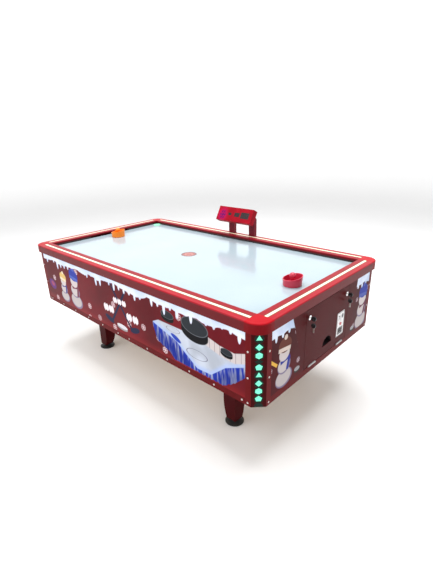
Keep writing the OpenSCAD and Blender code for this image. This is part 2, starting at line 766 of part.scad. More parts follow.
module mains_inlet() color("black") mirror([1, 0, 0]) translate([0, power_y, power_z])
  difference() {
    box([cab_l + 2, inlet_lo, -inlet_h / 2], [key_x - 2, inlet_hi, inlet_h / 2]);
    box([cab_l + 16, inlet_lo + socket_in, socket_in - inlet_h / 2],
      [key_x, inlet_hi - socket_in, inlet_h / 2 - socket_in]);
    for (i = [-1 : 1]) translate([0, (inlet_lo + inlet_hi) / 2 + 10 * i, 0])
      box([cab_l + 8, -pin_w / 2, -pin_h / 2], [key_x, pin_w / 2, pin_h / 2]);
  }
// Rests tipped one way about its pin
module rocker_switch() color("crimson") mirror([1, 0, 0])
  translate([key_x - rocker_in, power_y + rocker_off, power_z]) {
    rod_y(-rocker_w / 2 - 2.5, rocker_w / 2 + 2.5, rocker_pin);
    rotate([0, rocker_tip, 0]) rotate([90, 0, 0])
      linear_extrude(rocker_w - 2, center = true)
        polygon([[-3, -6], [-3, 6], [4, 13], [5, 0], [4, -13]]);
  }

// ---- Loose pieces ----
// Striker: a drum with a slanting rim, a hollow top and a round knob
module mallet() difference() {
  r = mallet_d / 2;
  union() {
    difference() {
      rotate_extrude() polygon([[0, 0], [r - 2, 0], [r, 2], [r + 1, 20], [r + 5, 62],
        [r + 1, 62], [r - 5, 14], [0, 12]]);
      rotate([0, 0, 43]) translate([0, 0, rim_z]) rotate([0, -rim_tilt, 0])
        translate([-100, -100, 0]) cube([200, 200, 60]);
    }
    translate([0, 0, 10]) cylinder(r = 12, h = 40);
    translate([0, 0, 54]) sphere(r = 18);
  }
  translate([0, 0, -1]) cylinder(r = r - 18, h = 4);
}
module mallet_red() color("crimson") translate([red_x, red_y, field_z]) mallet();
module mallet_orange() color("orange") translate([orange_x, orange_y, field_z]) mallet();
module puck() color("aquamarine") translate([puck_x, puck_y, field_z]) rotate_extrude()
  polygon([[0, 0], [puck_d / 2 - 1, 0], [puck_d / 2, 1], [puck_d / 2, puck_t - 1],
    [puck_d / 2 - 1, puck_t], [0, puck_t]]);
module screw() rotate([0, 90, 0]) cylinder(r1 = 5, r2 = 3, h = 1.6, $fn = 24);
module panel_screws() color("silver") four() {
  for (z = [cab_bot + 16, cab_bot + 152, cab_bot + 288]) {
    translate([cab_l, print_w + flange_w / 2 - 2, z]) screw();
    translate([print_l + flange_w / 2 - 2, cab_w, z]) rotate([0, 0, 90]) screw();
  }
  for (x = [60 : 180 : print_l]) translate([x, cab_w, cab_bot + base_h / 2])
    rotate([0, 0, 90]) screw();
}

base_rails();
corner_posts();
cross_beams();
floor_board();
plenum_floor();
plenum_walls();
plenum_ribs();
playfield();
side_rail_front();
side_rail_back();
end_rail_left();
end_rail_right();
corner_caps();
light_diffusers();
cushions();
goal_chute_left();
goal_chute_right();
outlet_cup_left();
outlet_cup_right();
side_boards();
print_front();
print_back();
end_panel_left();
end_panel_right();
corner_columns();
column_lamps();
blower_housing();
blower_wheel();
blower_motor();
control_box();
power_box();
mains_inlet();
rocker_switch();
service_door();
hinge_frame_leaves();
hinge_door_leaves();
coin_plate();
coin_mech();
reject_button();
return_flap();
cash_box();
lock_barrels();
lock_core_left();
lock_core_right();
key_left();
key_right();
spare_key_left();
spare_key_right();
legs();
foot_front_left();
foot_front_right();
foot_back_left();
foot_back_right();
score_posts();
score_housing();
score_displays();
mallet_red();
mallet_orange();
puck();
panel_screws();
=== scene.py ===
"""Finishes, printed sheets, trim and stage for a coin operated air hockey table."""
import math

import bpy
import numpy as np
from bpy.props import FloatProperty, FloatVectorProperty, PointerProperty
from mathutils import Matrix, Vector


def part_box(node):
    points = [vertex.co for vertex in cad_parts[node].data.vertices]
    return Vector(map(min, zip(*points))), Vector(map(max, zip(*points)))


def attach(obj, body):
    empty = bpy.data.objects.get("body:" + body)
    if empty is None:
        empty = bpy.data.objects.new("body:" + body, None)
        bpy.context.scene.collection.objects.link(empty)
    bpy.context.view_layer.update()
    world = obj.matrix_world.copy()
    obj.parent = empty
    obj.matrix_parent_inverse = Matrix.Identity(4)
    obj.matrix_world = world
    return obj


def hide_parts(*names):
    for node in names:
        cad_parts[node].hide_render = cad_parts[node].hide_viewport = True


bl_info = {
    "name": "Air hockey table finishes",
    "version": (1, 0, 0),
    "blender": (4, 5, 0),
    "location": "3D View > Sidebar > Table",
    "description": "Paint, printed sheets, lights and trim for an air hockey table",
    "category": "Object",
}

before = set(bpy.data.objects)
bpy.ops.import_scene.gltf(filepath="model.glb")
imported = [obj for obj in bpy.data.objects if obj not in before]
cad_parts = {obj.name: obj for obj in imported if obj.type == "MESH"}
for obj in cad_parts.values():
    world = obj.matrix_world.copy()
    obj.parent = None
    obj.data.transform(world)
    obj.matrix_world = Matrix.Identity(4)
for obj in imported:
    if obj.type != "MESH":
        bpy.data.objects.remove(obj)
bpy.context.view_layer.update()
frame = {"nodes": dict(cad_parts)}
NODES = frame["nodes"]

# Places that the finishes line up with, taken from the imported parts, in metres
SKIRT_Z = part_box("print_front")[1].z
FACE_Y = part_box("print_front")[0].y
FACE_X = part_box("end_panel_right")[1].x
FIELD_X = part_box("playfield")[1].x
FIELD_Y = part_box("playfield")[1].y
RAIL_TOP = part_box("side_rail_front")[1].z
RAIL_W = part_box("side_rail_back")[1].y - FIELD_Y
CHAMFER = 0.05
# Where the three sheets of a side print meet, and how far a screw head reaches
SHEET_CUTS = (-0.40, 0.29)
SCREW_REACH = 0.016
# Camera: place, azimuth, elevation and roll in degrees, focal length in millimetres
CAMERA_SPOT = (1.9237, -1.7522, 1.5975)
CAMERA_TURN = (43.62, 21.58, -1.66)
CAMERA_LENS = 24.30


# ---- Shader maths ----
class Val:
    """A number, colour or vector on its way through a material's nodes."""

    def __init__(self, paint, socket):
        self.paint = paint
        self.socket = socket

    def math(self, operation, *others):
        return self.paint.node("Math", {"operation": operation}, dict(enumerate((self,) + others)))

    def __add__(self, other):
        return self.math("ADD", other)

    def __mul__(self, other):
        return self.math("MULTIPLY", other)

    def __sub__(self, other):
        return self.math("SUBTRACT", other)

    def __truediv__(self, other):
        return self.math("DIVIDE", other)

    def __rsub__(self, other):
        return self.paint.node("Math", {"operation": "SUBTRACT"}, {0: other, 1: self})

    __radd__ = __add__
    __rmul__ = __mul__

    def __abs__(self):
        return self.math("ABSOLUTE")

    def most(self, other):
        return self.math("MAXIMUM", other)

    def least(self, other):
        return self.math("MINIMUM", other)

    def rise(self, low, high):
        """0 below low, 1 above high, and a smooth step between."""
        return self.paint.node("MapRange", {"interpolation_type": "SMOOTHSTEP"},
                               {0: self, 1: low, 2: high, 3: 0.0, 4: 1.0})

    def fall(self, low, high):
        """1 below low, 0 above high, and a smooth step between."""
        return self.paint.node("MapRange", {"interpolation_type": "SMOOTHSTEP"},
                               {0: self, 1: low, 2: high, 3: 1.0, 4: 0.0})

    def within(self, low, high, soft):
        return self.rise(low - soft, low + soft) * self.fall(high - soft, high + soft)


class Paint:
    def __init__(self, name):
        self.material = bpy.data.materials.new(name)
        self.material.use_nodes = True
        self.tree = self.material.node_tree
        self.tree.nodes.clear()
        self.place = self.node("TexCoord", {}, {}, "Object")
        self.x, self.y, self.z = self.split(self.place)

    def node(self, kind, settings, values, out=0):
        """Adds a node: its settings first, then the values or links of its sockets."""
        made = self.tree.nodes.new("ShaderNode" + kind)
        for key, value in settings.items():
            if key == "stops":
                ramp = made.color_ramp.elements
                while len(ramp) < len(value):
                    ramp.new(0.5)
                for stop, (at, shade) in zip(ramp, value):
                    stop.position = at
                    stop.color = (shade, shade, shade, 1.0)
            else:
                setattr(made, key, value)
        for key, value in values.items():
            if isinstance(value, Val):
                self.tree.links.new(value.socket, made.inputs[key])
            else:
                made.inputs[key].default_value = value
        return Val(self, made.outputs[out])

    def split(self, vector):
        return [self.node("SeparateXYZ", {}, {0: vector}, axis) for axis in range(3)]

    def join(self, x, y, z=0.0):
        return self.node("CombineXYZ", {}, {0: x, 1: y, 2: z})

    def noise(self, scale, detail=3.0, where=None, rough=0.5):
        return self.node("TexNoise", {}, {"Vector": where or self.place, "Scale": scale,
                                          "Detail": detail, "Roughness": rough})

    def mix(self, share, first, second):
        """First colour where share is 0, second where it is 1."""
        return self.node("Mix", {"data_type": "RGBA"},
                         {0: share, 6: full(first), 7: full(second)}, 2)

    def profile(self, along, low, high, stops):
        """A line through stops of (place, height), straight between them."""
        share = (along - low) * (1.0 / (high - low))
        return self.node("ValToRGB", {"stops": stops}, {0: share})

    def local(self, where, centre, size, turn=0.0):
        """Coordinates in which a shape's own centre is 0 and its half size is 1."""
        return self.node("Mapping", {"vector_type": "TEXTURE"},
                         {"Vector": where, "Location": (*centre, 0.0),
                          "Rotation": (0.0, 0.0, math.radians(turn)), "Scale": (*size, 1.0)})

    def oval(self, where, centre, size, turn=0.0, soft=0.04):
        """1 inside an ellipse of that centre and half size."""
        reach = self.node("VectorMath", {"operation": "LENGTH"},
                          {0: self.local(where, centre, size, turn)}, "Value")
        return reach.fall(1 - soft, 1 + soft)

    def block(self, where, centre, size, turn=0.0, soft=0.04):
        """1 inside a rectangle of that centre and half size."""
        folded = self.node("VectorMath", {"operation": "ABSOLUTE"},
                           {0: self.local(where, centre, size, turn)})
        x, y, _ = self.split(folded)
        return x.most(y).fall(1 - soft, 1 + soft)

    def bump(self, height, strength, distance=0.001):
        return self.node("Bump", {}, {"Height": height, "Strength": strength,
                                      "Distance": distance})

    def finish(self, **values):
        """The surface: a Principled shader with these socket values or links."""
        names = {"color": "Base Color", "rough": "Roughness", "metal": "Metallic",
                 "coat": "Coat Weight", "coat_rough": "Coat Roughness",
                 "glow": "Emission Color", "glow_power": "Emission Strength",
                 "normal": "Normal", "specular": "Specular IOR Level"}
        sockets = {names[k]: full(v) if k in ("color", "glow") else v
                   for k, v in values.items()}
        shader = self.node("BsdfPrincipled", {}, sockets)
        out = self.tree.nodes.new("ShaderNodeOutputMaterial")
        self.tree.links.new(shader.socket, out.inputs["Surface"])
        return self.material


def full(colour):
    """A colour with its alpha, or a link as it is."""
    return colour if isinstance(colour, Val) else (*tuple(colour)[:3], 1.0)


def shade(colour, factor):
    return tuple(c * factor for c in tuple(colour)[:3])


def coat_on(names, material):
    """Gives the named CAD nodes that material."""
    for name in names:
        mesh = NODES[name].data
        mesh.materials.clear()
        mesh.materials.append(material)


# ---- Surfaces ----
def grid_mesh(points):
    """Points and quads from an array by row and column; each row closes on itself."""
    rows, columns = points.shape[:2]
    index = np.arange(rows * columns).reshape(rows, columns)
    a, b = index[:-1], index[1:]
    quads = np.stack([a, np.roll(a, -1, 1), np.roll(b, -1, 1), b], -1)
    return points.reshape(-1, 3), quads.reshape(-1, 4)


def build(name, parts, material, body, smooth=True):
    """One object from several (points, faces) pairs, riding on a CAD body."""
    points, faces, start = [], [], 0
    for p, f in parts:
        points.append(p)
        faces.extend([[int(i) + start for i in face] for face in f])
        start += len(p)
    mesh = bpy.data.meshes.new(name)
    mesh.from_pydata(np.concatenate(points).tolist(), [], faces)
    mesh.validate()
    mesh.update()
    mesh.materials.append(material)
    if smooth:
        mesh.shade_smooth()
        mesh.set_sharp_from_angle(angle=math.radians(35))
    made = bpy.data.objects.new(name, mesh)
    bpy.context.scene.collection.objects.link(made)
    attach(made, body)
    return made


def prism(outline, height):
    """A flat outline, listed anticlockwise, raised along Z by height."""
    base = np.asarray(outline, float)
    n = len(base)
    points = np.vstack([np.c_[base, np.zeros(n)], np.c_[base, np.full(n, height)]])
    k = np.arange(n)
    j = (k + 1) % n
    sides = [[int(k[i]), int(j[i]), int(j[i] + n), int(k[i] + n)] for i in k]
    return points, sides + [list(range(n))[::-1], list(range(n, 2 * n))]


def sheet_part(low, high, bevel):
    """A flat sheet along X: its Y and Z outline has cut corners, swept from low x to high x."""
    (y0, z0), (y1, z1) = low[1:], high[1:]
    outline = [(y0 + bevel, z0), (y1 - bevel, z0), (y1, z0 + bevel), (y1, z1 - bevel),
               (y1 - bevel, z1), (y0 + bevel, z1), (y0, z1 - bevel), (y0, z0 + bevel)]
    return placed(prism(outline, high[0] - low[0]), (low[0], 0.0, 0.0), (1, 0, 0))


def screw_head(radius, height):
    """A domed head with a cross recess: z = h (1 - 0.55 r^2) less the recess's depth d,
    where d falls to 0 past an arm's half width and past its reach, r from 0 to 1."""
    rows, n = 22, 56
    r = np.linspace(0.0, 1.0, rows)[1:, None]
    a = np.arange(n)[None, :] * (2 * math.pi / n)
    x, y = r * np.cos(a), r * np.sin(a)
    arm = np.clip((0.17 - np.minimum(abs(x), abs(y))) / 0.06, 0, 1)
    reach = np.clip((0.62 - r) / 0.14, 0, 1)
    z = height * (1 - 0.55 * r ** 2 - 0.70 * arm * reach)
    top = np.stack([x * radius, y * radius, z], -1)
    rim = top[-1:] * (1, 1, 0)
    points, quads = grid_mesh(np.concatenate([rim, top[::-1]]))
    points = np.vstack([points, [[0, 0, 0], [0, 0, height * 0.30]]])
    k = np.arange(n)
    j = (k + 1) % n
    under = [[rows * n, int(j[i]), int(k[i])] for i in k]
    over = [[rows * n + 1, (rows - 1) * n + int(k[i]), (rows - 1) * n + int(j[i])] for i in k]
    return points, quads.tolist() + under + over


def separate_places(node, reach):
    """The corners of each small piece of a node, told apart by distance."""
    mesh = NODES[node].data
    left = np.array([v.co[:] for v in mesh.vertices])
    while len(left):
        near = np.linalg.norm(left - left[0], axis=1) < reach
        yield left[near].min(0), left[near].max(0)
        left = left[~near]


def placed(part, where, normal):
    """A part moved so its Z lies along normal and its Y points up; normal is level."""
    points, faces = part
    z = np.asarray(normal, float)
    z /= np.linalg.norm(z)
    y = np.array((0.0, 0.0, 1.0))
    return points @ np.stack([np.cross(y, z), y, z]) + np.asarray(where, float), faces


# ---- Settings ----
def colour(name, description, default):
    return FloatVectorProperty(name=name, description=description, default=default,
                               size=3, min=0.0, max=1.0, subtype="COLOR")


class PaintSettings(bpy.types.PropertyGroup):
    rail: colour("Rail red", "Lacquer on the four rails", (0.27, 0.008, 0.016))
    cap: colour("Cap red", "Moulded corner caps", (0.40, 0.005, 0.012))
    door: colour("Door red", "Enamel on the end panels and the door", (0.066, 0.0012, 0.0028))
    column: colour("Column red", "Enamel on the corner columns", (0.125, 0.002, 0.004))
    frame: colour("Frame red", "Enamel on the bottom frame", (0.105, 0.002, 0.0035))
    leg: colour("Leg red", "Lacquer on the legs", (0.052, 0.002, 0.0035))
    score: colour("Scoreboard red", "Enamel on the scoreboard", (0.29, 0.003, 0.012))


class PrintSettings(bpy.types.PropertyGroup):
    ground: colour("Ground", "Dark red behind the winter print", (0.120, 0.004, 0.009))
    snow: colour("Snow", "White of the snow and ice", (0.74, 0.80, 0.93))
    ice: colour("Ice", "Blue of the ice's edge", (0.010, 0.028, 0.33))
    ink: colour("Ink", "Dark ink of the sticks and pucks", (0.010, 0.012, 0.045))
    soft: FloatProperty(name="Edge softness", description="Blur of the print's edges",
                        default=0.0015, min=0.0005, max=0.005, unit="LENGTH")


class LightSettings(bpy.types.PropertyGroup):
    mint: colour("Mint", "Colour of the lamps in the columns", (0.16, 0.95, 0.60))
    cream: colour("Cream", "Colour of the light strips", (1.0, 0.80, 0.50))
    power: FloatProperty(name="Strength", description="Glow of the lamps and strips",
                         default=0.75, min=0.0, max=5.0)


class StageSettings(bpy.types.PropertyGroup):
    sky: FloatProperty(name="Sky", description="Strength of the light all round",
                       default=0.55, min=0.0, max=3.0)
    key: FloatProperty(name="Key", description="Strength of the large soft light",
                       default=150.0, min=0.0, max=2000.0, unit="POWER")


# ---- Finishes ----
def enamel(name, tint, rough=0.34, peel=0.05, coat=0.01, side=1.0):
    """Sprayed enamel: fine orange peel, faint dust and slightly uneven colour; side is
    how much of its colour it keeps below the rail tops, as painted shade on the sides."""
    m = Paint(name)
    cloud = m.noise(3.5, 4.0)
    dust = m.noise(160.0, 2.0)
    tone = m.mix(cloud.rise(0.35, 0.75), shade(tint, 0.90), shade(tint, 1.10))
    # Painted shade: below the rail tops the colour is darkened by side.
    if side != 1.0:
        below = m.z.fall(RAIL_TOP - 0.010, RAIL_TOP - 0.002)
        tone = m.mix(below, tone, shade(tint, side))
    scuff = m.noise(26.0, 6.0, rough=0.7).rise(0.62, 0.80)
    return m.finish(color=m.mix(scuff * 0.04, tone, (0.30, 0.16, 0.15)),
                    rough=dust * 0.08 + scuff * 0.10 + rough, coat=coat, coat_rough=0.12,
                    specular=0.05, normal=m.bump(m.noise(150.0, 1.0), peel * 0.25))


def metal(name, tint, rough=0.25, grain=(1.0, 1.0, 30.0), shine=1.0):
    """Brushed or plated metal: fine lines one way and a few dull spots."""
    m = Paint(name)
    lined = m.node("Mapping", {"vector_type": "POINT"}, {"Vector": m.place, "Scale": grain})
    lines = m.noise(60.0, 3.0, lined)
    spots = m.noise(35.0, 5.0).rise(0.55, 0.75)
    return m.finish(color=m.mix(spots * 0.35, tint, shade(tint, 0.6)), metal=shine,
                    rough=lines * 0.14 + spots * 0.10 + rough,
                    normal=m.bump(lines, 0.06))


def moulded(name, tint, rough=0.35, grain=0.04, coat=0.0, wear=0.10):
    """Moulded plastic or rubber: fine grain, handling marks and a little paler wear."""
    m = Paint(name)
    marks = m.noise(55.0, 6.0, rough=0.65).rise(0.58, 0.78)
    pale = tuple(c + (0.5 - c) * 0.35 for c in tint)
    return m.finish(color=m.mix(marks * wear, tint, pale), coat=coat,
                    rough=marks * 0.15 + m.noise(90.0, 2.0) * 0.08 + rough,
                    normal=m.bump(m.noise(700.0, 2.0), grain))


def boards(name, tint):
    """Bare plywood: long grain, fine pores and faint patches."""
    m = Paint(name)
    long = m.node("Mapping", {"vector_type": "POINT"},
                  {"Vector": m.place, "Scale": (1.0, 14.0, 14.0)})
    grain = m.noise(5.0, 8.0, long, 0.6)
    pores = m.noise(40.0, 4.0, long).rise(0.60, 0.70)
    tone = m.mix(grain.rise(0.35, 0.65), shade(tint, 0.72), tint)
    return m.finish(color=m.mix(pores * 0.4, tone, shade(tint, 0.4)),
                    rough=grain * 0.2 + 0.5, normal=m.bump(grain, 0.12))


def rail_lacquer(tint):
    """Gloss red lacquer; painted shade in the light channel and on the skirts, and a painted
    highlight on the outer half of each top.
    """
    m = Paint("rail_paint")
    across = (abs(m.x) - FIELD_X).most(abs(m.y) - FIELD_Y)
    middle = abs(across - RAIL_W / 2)
    on_top = m.z.rise(RAIL_TOP - 0.002, RAIL_TOP - 0.0005)
    # Painted shade: the walls of the recessed light channel are painted dark olive.
    channel_shade = middle.fall(0.0115, 0.0135) * m.z.rise(RAIL_TOP - 0.010, RAIL_TOP - 0.008)
    grain = m.noise(9.0, 5.0)
    tone = m.mix(grain.rise(0.3, 0.7), shade(tint, 0.92), shade(tint, 1.08))
    # Painted highlight: the outer half of each rail top is painted a lighter red.
    outer = (across - RAIL_W / 2).rise(0.0, 0.003) * on_top
    tone = m.mix(outer * 0.35, tone, (0.50, 0.014, 0.026))
    tone = m.mix(channel_shade * 0.9, tone, (0.055, 0.040, 0.012))
    # Painted shade: the rail skirts below the top are painted darker than the top.
    shaded_skirt = m.z.fall(RAIL_TOP - 0.008, RAIL_TOP - 0.004)
    tone = m.mix(shaded_skirt, tone, shade(tint, 0.44))
    return m.finish(color=tone, rough=m.noise(30.0, 4.0) * 0.12 + 0.30, coat=0.10,
                    coat_rough=0.12, specular=0.08, normal=m.bump(m.noise(140.0, 1.0), 0.008))


def strip_cover(settings):
    """Milky cover over a row of light chips: brighter beads on a cream ground."""
    m = Paint("light_cover")
    along = m.node("Mix", {"data_type": "FLOAT"},
                   {0: (abs(m.x) - FIELD_X).rise(0.0, 0.001), 2: m.x, 3: m.y})
    across = (abs(m.x) - FIELD_X).most(abs(m.y) - FIELD_Y) - RAIL_W / 2
    step = along.math("PINGPONG", 0.0085)
    bead = (step * step + across * across).math("SQRT").fall(0.002, 0.007)
    edge = abs(across).rise(0.0045, 0.0075)
    glow = m.mix(bead, shade(settings.cream, 0.80), (1.0, 0.93, 0.80))
    glow = m.mix(edge, glow, (0.16, 0.12, 0.03))
    return m.finish(color=(0.55, 0.50, 0.38), rough=0.3, glow=glow,
                    glow_power=settings.power)


def playfield_laminate():
    """Gloss white laminate: a grid of small air holes, a centre spot and faint streaks."""
    m = Paint("laminate")
    pitch = 0.0254
    dx = m.x.math("PINGPONG", pitch / 2)
    dy = m.y.math("PINGPONG", pitch / 2)
    hole = (dx * dx + dy * dy).math("SQRT").fall(0.0006, 0.0013)
    reach = (m.x * m.x + m.y * m.y).math("SQRT")
    spot = reach.fall(0.0505, 0.0515)
    ring = reach.within(0.044, 0.054, 0.0008)
    pip = reach.within(0.020, 0.028, 0.001)
    # Painted shade: a thin dark red line along the edge of the playfield, where it meets the
    # cushions.
    border = (abs(m.x) - FIELD_X).most(abs(m.y) - FIELD_Y).rise(-0.0008, -0.0003)
    streak = m.noise(2.2, 5.0)
    tone = m.mix(streak.rise(0.35, 0.7), (0.345, 0.43, 0.475), (0.37, 0.455, 0.505))
    tone = m.mix(spot, tone, (0.30, 0.035, 0.028))
    tone = m.mix(ring, tone, (0.11, 0.030, 0.026))
    tone = m.mix(pip, tone, (0.42, 0.16, 0.13))
    tone = m.mix(hole * 0.75, tone, (0.20, 0.23, 0.28))
    tone = m.mix(border, tone, (0.10, 0.02, 0.02))
    return m.finish(color=tone, rough=m.noise(14.0, 5.0) * 0.10 + 0.12, coat=0.35,
                    coat_rough=0.04, normal=m.bump(1.0 - hole, 0.25, 0.0006))


def drips(m, across, seed):
    """Melting snow along the top edge: a wavy line with round ended drips below it."""
    wave = m.noise(9.0, 2.0, m.join(across, seed)) * 0.062 + 0.010
    cell = across / 0.052 + seed
    index = cell.math("FLOOR")
    chance = m.node("TexWhiteNoise", {"noise_dimensions": "1D"}, {"W": index})
    off = cell - index - 0.5
    width = chance * 0.10 + 0.12
    round_end = (1.0 - (off / width).math("POWER", 2.0)).most(0.0).math("SQRT")
    length = chance.math("POWER", 1.6) * 0.052
    return wave + round_end * length


def crystals(m, where, spacing, seed):
    """Scattered six armed snow crystals, one in some of the cells of a jittered grid."""
    moved = m.node("VectorMath", {"operation": "ADD"}, {0: where, 1: (seed, seed * 0.7, 0.0)})
    tex = {"Vector": moved, "Scale": 1.0 / spacing, "Randomness": 0.75}
    cell = m.node("TexVoronoi", {"voronoi_dimensions": "2D"}, tex, "Position")
    chance = m.split(m.node("TexVoronoi", {"voronoi_dimensions": "2D"}, tex, "Color"))[0]
    arm = m.node("VectorMath", {"operation": "SUBTRACT"}, {0: moved, 1: cell})
    u, v, _ = m.split(arm)
    r = (u * u + v * v).math("SQRT")
    fold = v.math("ARCTAN2", u).math("PINGPONG", math.pi / 6)
    side = r * fold.math("SINE")
    out = r * fold.math("COSINE")
    size = spacing * 0.13
    spine = side.fall(size * 0.10, size * 0.16) * r.fall(size * 0.96, size * 1.04)
    twig = abs(out - size * 0.55 - side).fall(size * 0.10, size * 0.16) \
        * side.fall(size * 0.40, size * 0.46)
    return spine.most(twig) * chance.rise(0.40, 0.42) * (chance * 0.45 + 0.40)


def hat_and_snowballs(m, tone, where, centre, size, colours):
    """A knitted hat with a bobble on three stacked snowballs with a scarf, and no face."""
    cx, cy = centre
    hat, brim, scarf = colours
    snow, cool = (0.56, 0.50, 0.50), (0.20, 0.16, 0.26)

    def put(tone, shape, *args, tint):
        kind, dx, dy, w, h, turn = (shape, *args)
        return m.mix(kind(where, (cx + dx * size, cy + dy * size), (w * size, h * size),
                          turn, 0.06), tone, tint)

    tone = put(tone, m.oval, 0.02, 2.05, 0.86, 0.62, 0, tint=cool)
    tone = put(tone, m.oval, -0.04, 1.98, 0.78, 0.56, 0, tint=shade(snow, 0.82))
    tone = put(tone, m.oval, 0.0, 1.18, 0.66, 0.56, 0, tint=cool)
    tone = put(tone, m.oval, -0.04, 1.12, 0.60, 0.50, 0, tint=shade(snow, 0.92))
    tone = put(tone, m.block, 0.10, 0.84, 0.50, 0.12, -8, tint=scarf)
    tone = put(tone, m.block, 0.42, 1.20, 0.13, 0.42, 14, tint=scarf)
    tone = put(tone, m.oval, 0.0, 0.38, 0.54, 0.48, 0, tint=snow)
    tone = put(tone, m.oval, 0.04, -0.18, 0.66, 0.50, 8, tint=hat)
    tone = put(tone, m.block, 0.0, 0.10, 0.62, 0.13, 8, tint=brim)
    return put(tone, m.oval, 0.10, -0.66, 0.17, 0.17, 0, tint=brim)


def puck_drawing(m, tone, where, centre, size, top, side, rim):
    """A thick disc seen from above: its side, its top and the light on its rim."""
    (cx, cy), (w, h) = centre, size
    tall = h * 0.85
    tone = m.mix(m.oval(where, (cx, cy + tall), (w, h), 3.0), tone, side)
    tone = m.mix(m.block(where, (cx, cy + tall / 2), (w, tall / 2), 0.0), tone, side)
    tone = m.mix(m.oval(where, (cx, cy), (w, h), 3.0), tone, rim)
    return m.mix(m.oval(where, (cx, cy), (w * 0.95, h * 0.93), 3.0), tone, top)


def hats_motif(m, tone, where, across, depth, settings):
    """Two hats on snowballs, with a small whirl of wind beside them."""
    # A whirl of wind at the left
    tone = m.mix(m.oval(where, (-0.905, 0.235), (0.050, 0.036), 20.0, 0.2), tone,
                 (0.10, 0.02, 0.16))
    tone = m.mix(m.oval(where, (-0.900, 0.230), (0.026, 0.018), 20.0, 0.3), tone,
                 (0.30, 0.05, 0.12))
    tone = hat_and_snowballs(m, tone, where, (-0.720, 0.150), 0.068,
                             ((0.62, 0.42, 0.14), (0.72, 0.60, 0.45), (0.05, 0.04, 0.20)))
    tone = hat_and_snowballs(m, tone, where, (-0.555, 0.105), 0.088,
                             ((0.02, 0.035, 0.30), (0.06, 0.10, 0.42), (0.16, 0.03, 0.06)))
    return tone


def sticks_motif(m, tone, where, across, depth, settings):
    """Crossed sticks over a pale puck, and two rows of white stars."""
    ink = settings.ink[:]
    # Crossed sticks with a pale puck below them
    for turn, flip in ((-36.0, 1), (36.0, -1)):
        tone = m.mix(m.block(where, (flip * 0.012, 0.165), (0.0085, 0.170), turn, 0.10),
                     tone, ink)
        tone = m.mix(m.oval(where, (flip * 0.135, 0.287), (0.050, 0.019), -18.0 * flip, 0.08),
                     tone, ink)
    tone = puck_drawing(m, tone, where, (0.0, 0.303), (0.054, 0.014),
                        (0.62, 0.60, 0.64), (0.30, 0.28, 0.30), (0.75, 0.74, 0.78))
    # Two rows of white stars where a title would stand
    for row, (height, half, spots) in enumerate(((0.137, 0.021, (-0.046, 0.0, 0.046)),
                                                 (0.214, 0.028, (-0.160, -0.102, 0.088,
                                                                 0.150)))):
        for spot in spots:
            star = m.block(where, (spot, height), (half, half * 0.42), 45.0).most(
                m.block(where, (spot, height), (half, half * 0.42), -45.0))
            star = star.most(m.block(where, (spot, height), (half, half * 0.26), 0.0))
            tone = m.mix(star, tone, (0.78, 0.70, 0.74))
    return tone


def ice_motif(m, tone, where, across, depth, settings):
    """A floating slab of ice with a rink circle and three pucks above it."""
    snow, ice = settings.snow[:], settings.ice[:]
    # Ice slab: its blue side below the white top, with a rink circle and pucks
    top_line = m.profile(across, 0.30, 1.0,
                         [(0.0, 0.70), (0.03, 0.42), (0.10, 0.36), (0.5, 0.36), (1.0, 0.44)])
    front_line = m.profile(across, 0.30, 1.0,
                           [(0.0, 0.0), (0.03, 0.43), (0.16, 0.50), (0.30, 0.57),
                            (0.42, 0.72), (0.52, 0.84), (0.66, 0.83), (0.80, 0.62),
                            (1.0, 0.46)])
    foot_line = m.profile(across, 0.30, 1.0,
                          [(0.0, 0.0), (0.03, 0.48), (0.07, 0.70), (0.22, 0.80),
                           (0.27, 0.885), (0.78, 0.895), (0.88, 0.78), (1.0, 0.58)])
    span = 0.385
    spikes = m.noise(70.0, 1.0, m.join(across, 0.3)) * 0.05 - 0.025
    scaled = depth / span
    below_top = (scaled - top_line).rise(-0.006, 0.006)
    slab = below_top * (foot_line + spikes - scaled).rise(-0.006, 0.006) \
        * across.rise(0.318, 0.322)
    fluted = m.noise(55.0, 2.0, m.join(across, depth * 0.15))
    cliff = m.mix(fluted.rise(0.44, 0.72), ice, shade(snow, 0.60))
    cliff = m.mix((scaled - front_line).rise(0.0, 0.16) * 0.65, cliff, shade(ice, 0.55))
    face = (front_line - scaled).rise(-0.006, 0.006)
    deck = m.mix(m.noise(6.0, 3.0, where).rise(0.35, 0.65), shade(snow, 0.52), shade(snow, 0.72))
    deck = m.mix((front_line - scaled).fall(0.0, 0.10) * 0.55, deck, (0.30, 0.45, 0.85))
    for centre, size in (((0.665, 0.243), (0.077, 0.027)), ((0.490, 0.160), (0.055, 0.015))):
        line = m.oval(where, centre, size) \
            * (1.0 - m.oval(where, centre, shade(size, 0.93)))
        deck = m.mix(line * 0.9, deck, (0.06, 0.04, 0.10))
    deck = m.mix(m.oval(where, (0.510, 0.203), (0.042, 0.014), 22.0, 0.12), deck,
                 (0.02, 0.05, 0.38))
    tone = m.mix(slab, tone, m.mix(face, cliff, deck))
    # Boards of the rink behind the ice
    wall_top = m.profile(across, 0.30, 1.0, [(0.55, 0.24), (0.62, 0.28), (0.75, 0.34),
                                             (0.88, 0.36), (1.0, 0.28)])
    wall = (scaled - wall_top).rise(-0.004, 0.004) * across.rise(0.728, 0.734) \
        * (wall_top + 0.14 - scaled).rise(-0.006, 0.006)
    joints = across.math("PINGPONG", 0.0165).fall(0.0008, 0.0020)
    tone = m.mix(wall, tone, m.mix(joints, (0.56, 0.50, 0.50), (0.22, 0.16, 0.18)))
    for centre, size in (((0.450, 0.085), (0.051, 0.023)), ((0.655, 0.088), (0.096, 0.048)),
                         ((0.868, 0.150), (0.038, 0.017))):
        tone = puck_drawing(m, tone, where, centre, size, (0.022, 0.026, 0.032),
                            (0.004, 0.004, 0.006), (0.12, 0.13, 0.15))
    return tone


